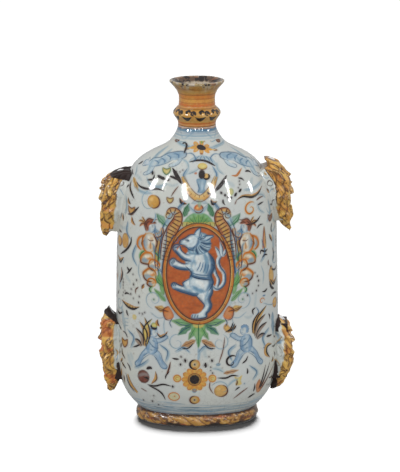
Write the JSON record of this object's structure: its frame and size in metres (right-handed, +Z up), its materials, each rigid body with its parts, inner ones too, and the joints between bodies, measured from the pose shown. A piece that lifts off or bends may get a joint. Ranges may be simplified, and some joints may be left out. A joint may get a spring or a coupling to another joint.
{
  "type": "pilgrim flask",
  "caption": "Tall flattened glazed ceramic flask on an oval foot, with a flared mouth and side lugs that are pierced for a carrying cord and faced with relief masks.",
  "frame": {"origin": "on the table plane, at the centre of the foot ring, straight under the neck", "axes": "+Z up along the neck, +X to the viewer's right across the two side seams, +Y away from the viewer into the back face"},
  "size_m": [0.1983, 0.109, 0.34],
  "materials": {
    "white_glaze": "glossy tin glaze, cool white, painted",
    "orange_glaze": "glossy orange and ochre bands, worn at the edges",
    "ochre_glaze": "glossy yellow ochre over moulded relief, brown lines",
    "dark_glaze": "glossy manganese brown-black"
  },
  "bodies": {
    "root": {"front_wall": "white_glaze", "back_wall": "white_glaze", "front_shoulder": "white_glaze", "back_shoulder": "white_glaze", "base_slab": "white_glaze", "foot_ring": "orange_glaze", "neck": "white_glaze", "neck_collar": "orange_glaze", "mouth_flare": "orange_glaze", "strap_lug_upper_left": "white_glaze", "strap_lug_upper_right": "white_glaze", "strap_lug_lower_left": "white_glaze", "strap_lug_lower_right": "white_glaze", "mask_upper_left": "ochre_glaze", "mask_upper_right": "ochre_glaze", "mask_lower_left": "ochre_glaze", "mask_lower_right": "ochre_glaze"}
  },
  "joints": []
}
